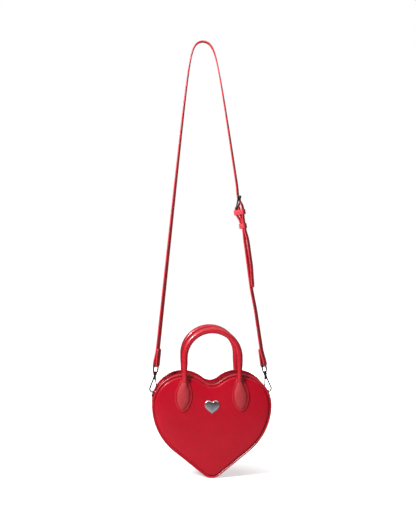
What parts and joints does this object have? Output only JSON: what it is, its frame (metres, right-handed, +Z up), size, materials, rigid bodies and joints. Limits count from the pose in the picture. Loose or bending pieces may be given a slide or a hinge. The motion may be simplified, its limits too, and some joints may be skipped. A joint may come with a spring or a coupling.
{
  "type": "handbag",
  "caption": "Heart shaped padded handbag with rolled handles, a zipped top and a metal emblem, hung by swivel snap hooks from its buckled shoulder strap.",
  "frame": {"origin": "underside of the shoulder strap at its highest point, where the bag hangs", "axes": "+Z up, the front of the bag faces -Y, +X to the right as seen from the front"},
  "size_m": [0.2141, 0.104, 0.7541],
  "materials": {
    "red_leather": "smooth satin leather with a soft sheen",
    "strap_leather": "smooth satin leather with painted edges",
    "piping_leather": "satin leather rolled over a cord",
    "dark_metal": "polished gunmetal plating",
    "bright_metal": "polished nickel plating",
    "zip_metal": "nickel plated teeth",
    "tape_cloth": "woven zip tape",
    "lining_cloth": "woven lining cloth",
    "foam": "soft foam",
    "board": "stiffener board"
  },
  "bodies": {
    "strap": {"strap_long": "strap_leather", "strap_short": "strap_leather", "buckle_frame": "dark_metal", "keeper_upper": "strap_leather", "keeper_lower": "strap_leather", "left_hook_eye": "dark_metal", "right_hook_eye": "dark_metal"},
    "prong": {"buckle_prong": "dark_metal"},
    "left_hook": {"left_hook_body": "dark_metal", "left_gate_pin": "bright_metal"},
    "right_hook": {"right_hook_body": "dark_metal", "right_gate_pin": "bright_metal"},
    "left_gate": {"left_hook_gate": "dark_metal"},
    "right_gate": {"right_hook_gate": "dark_metal"},
    "bag": {"front_panel": "red_leather", "back_panel": "red_leather", "front_pad": "foam", "back_pad": "foam", "front_board": "board", "back_board": "board", "front_piping": "piping_leather", "back_piping": "piping_leather", "side_wall": "red_leather", "front_zip_facing": "red_leather", "back_zip_facing": "red_leather", "zip_tapes": "tape_cloth", "zip_teeth": "zip_metal", "zip_stops": "bright_metal", "lining": "lining_cloth", "slip_pocket": "lining_cloth", "front_left_tab": "red_leather", "front_right_tab": "red_leather", "back_left_tab": "red_leather", "back_right_tab": "red_leather", "emblem": "bright_metal", "emblem_washers": "bright_metal", "left_ring_tab": "red_leather", "right_ring_tab": "red_leather"},
    "left_ring": {"left_ring": "dark_metal"},
    "right_ring": {"right_ring": "dark_metal"},
    "front_grip": {"front_handle": "red_leather", "front_handle_core": "foam"},
    "back_grip": {"back_handle": "red_leather", "back_handle_core": "foam"},
    "slider": {"zip_slider": "dark_metal"},
    "pull": {"zip_pull": "strap_leather"}
  },
  "joints": [
    {"name": "bag_swing", "type": "hinge", "parent": "strap", "child": "bag", "pos_m": [0.014, 0, -0.609], "axis": [1, 0, 0], "range_deg": [-50, 50]},
    {"name": "left_hook_swivel", "type": "hinge", "parent": "strap", "child": "left_hook", "pos_m": [-0.08677, 0, -0.609], "axis": [0.1219, 0, 0.9925], "range_deg": [-20, 20]},
    {"name": "left_gate_hinge", "type": "hinge", "parent": "left_hook", "child": "left_gate", "pos_m": [-0.08241, 0, -0.58463], "axis": [0, 1, 0], "range_deg": [0, 15], "stiffness_Nm_per_rad": 0.01, "springref_deg": -11.46},
    {"name": "left_ring_tilt", "type": "hinge", "parent": "bag", "child": "left_ring", "pos_m": [-0.08706, 0, -0.61449], "axis": [0, 1, 0], "range_deg": [-2, 4]},
    {"name": "right_hook_swivel", "type": "hinge", "parent": "strap", "child": "right_hook", "pos_m": [0.11477, 0, -0.609], "axis": [-0.1736, 0, 0.9848], "range_deg": [-20, 20]},
    {"name": "right_gate_hinge", "type": "hinge", "parent": "right_hook", "child": "right_gate", "pos_m": [0.10914, 0, -0.58489], "axis": [0, -1, 0], "range_deg": [0, 15], "stiffness_Nm_per_rad": 0.01, "springref_deg": -11.46},
    {"name": "right_ring_tilt", "type": "hinge", "parent": "bag", "child": "right_ring", "pos_m": [0.11506, 0, -0.61449], "axis": [0, 1, 0], "range_deg": [-4, 2]},
    {"name": "front_handle_fold", "type": "hinge", "parent": "bag", "child": "front_grip", "pos_m": [0.014, -0.0468, -0.58281], "axis": [1, 0, 0], "range_deg": [-10, 70], "stiffness_Nm_per_rad": 0.08},
    {"name": "back_handle_fold", "type": "hinge", "parent": "bag", "child": "back_grip", "pos_m": [0.014, 0.0468, -0.58281], "axis": [-1, 0, 0], "range_deg": [-10, 70], "stiffness_Nm_per_rad": 0.08},
    {"name": "zip_travel", "type": "hinge", "parent": "bag", "child": "slider", "pos_m": [-0.0339, 0, -0.6284], "axis": [0, 1, 0], "range_deg": [0, 55]},
    {"name": "zip_pull_lift", "type": "hinge", "parent": "slider", "child": "pull", "pos_m": [-0.06482, 0, -0.58567], "axis": [0, 1, 0], "range_deg": [0, 15]},
    {"name": "prong_lift", "type": "hinge", "parent": "strap", "child": "prong", "pos_m": [0.06091, 0.00168, -0.28901], "axis": [0.3295, 0.9429, 0.0495], "range_deg": [0, 4]}
  ]
}
